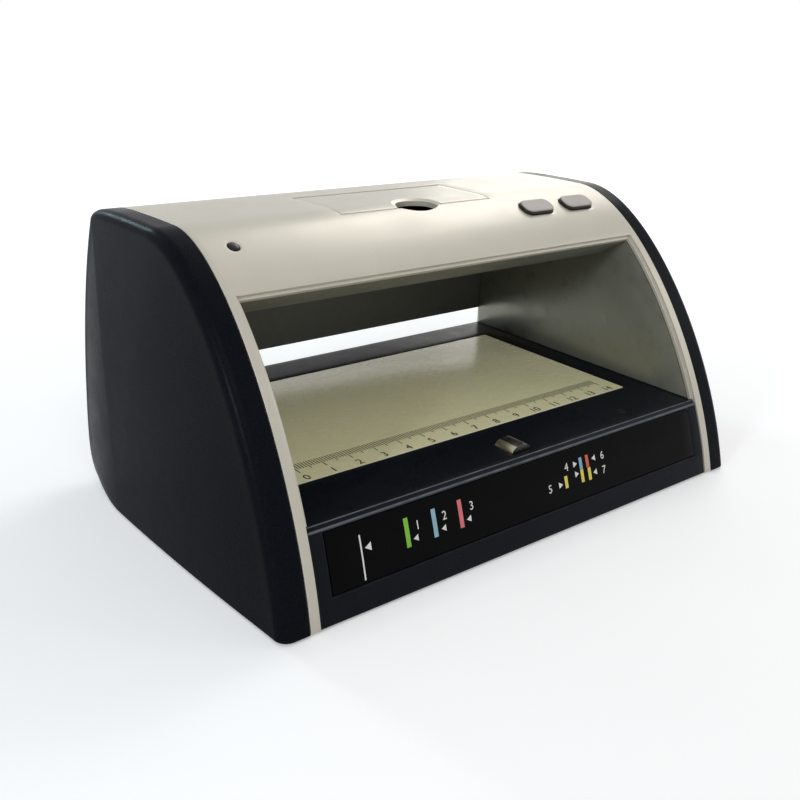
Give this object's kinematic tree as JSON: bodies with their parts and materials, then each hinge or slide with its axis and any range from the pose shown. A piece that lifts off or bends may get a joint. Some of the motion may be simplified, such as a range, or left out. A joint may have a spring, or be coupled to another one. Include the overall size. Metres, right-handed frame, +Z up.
{
  "type": "counterfeit money detector",
  "caption": "Arched desktop note checker: lamp housing over a lit deck with a ruler plate, magnetic head, sloping front label, lidded top compartment and push buttons.",
  "frame": {"origin": "middle of the footprint, on the surface that the rubber feet stand on", "axes": "+X runs to the user's right along the width, +Y runs to the back, +Z is up; the user faces the front from -Y"},
  "size_m": [0.209, 0.127, 0.099],
  "materials": {
    "silver_shell": "satin metallic champagne paint on plastic",
    "dark_body": "fine textured blue-black",
    "label_panel": "glossy printed film",
    "chamber_liner": "satin grey",
    "lamp_grey": "fine textured grey",
    "button_taupe": "satin",
    "dark_lens": "polished smoked plastic",
    "opal_plate": "translucent cream, printed ruler",
    "white_plastic": "white moulded",
    "violet_filter": "polished dark violet",
    "circuit_board": "green solder mask",
    "black_plastic": "moulded",
    "bright_steel": "fine brushed",
    "foot_rubber": "matt"
  },
  "bodies": {
    "housing": {"top_shell": "silver_shell", "right_side_cover": "dark_body", "left_side_cover": "dark_body", "rear_cover": "dark_body", "base_tray": "dark_body", "floor_plate": "dark_body", "front_label": "label_panel", "ruler_plate": "opal_plate", "right_chamber_wall": "chamber_liner", "left_chamber_wall": "chamber_liner", "lamp_housing": "lamp_grey", "ultraviolet_filter": "violet_filter", "ultraviolet_board": "circuit_board", "ultraviolet_led_1": "white_plastic", "ultraviolet_led_2": "white_plastic", "ultraviolet_led_3": "white_plastic", "ultraviolet_led_4": "white_plastic", "magnetic_head": "bright_steel", "head_core": "black_plastic", "head_holder": "black_plastic", "sensor_lens": "dark_lens", "reflector_tray": "white_plastic", "diffuser_sheet": "white_plastic", "backlight_board": "circuit_board", "white_led_1": "white_plastic", "white_led_2": "white_plastic", "white_led_3": "white_plastic", "white_led_4": "white_plastic", "foot_1": "foot_rubber", "foot_2": "foot_rubber", "foot_3": "foot_rubber", "foot_4": "foot_rubber", "base_screw_1": "bright_steel", "base_screw_2": "bright_steel", "base_screw_3": "bright_steel", "base_screw_4": "bright_steel", "main_board": "circuit_board", "buzzer": "black_plastic", "supply_jack": "black_plastic", "hatch_tray": "dark_body", "hatch_pin_left": "bright_steel", "hatch_pin_right": "bright_steel", "watermark_switch": "black_plastic", "ultraviolet_switch": "black_plastic", "button_board": "circuit_board", "indicator_lens": "dark_lens", "indicator_led": "white_plastic"},
    "hatch": {"hatch": "silver_shell"},
    "watermark_button": {"watermark_button": "button_taupe"},
    "ultraviolet_button": {"ultraviolet_button": "button_taupe"}
  },
  "joints": [
    {"name": "hatch_hinge", "type": "hinge", "parent": "housing", "child": "hatch", "pos_m": [0, 0.03348, 0.09762], "axis": [-1, 0, 0], "range_deg": [0, 110]},
    {"name": "watermark_press", "type": "slide", "parent": "housing", "child": "watermark_button", "axis": [0, 0.4544, -0.8908], "range_m": [0, 0.0008], "stiffness_N_per_m": 800, "springref_m": -0.0005},
    {"name": "ultraviolet_press", "type": "slide", "parent": "housing", "child": "ultraviolet_button", "axis": [0, 0.4544, -0.8908], "range_m": [0, 0.0008], "stiffness_N_per_m": 800, "springref_m": -0.0005}
  ]
}
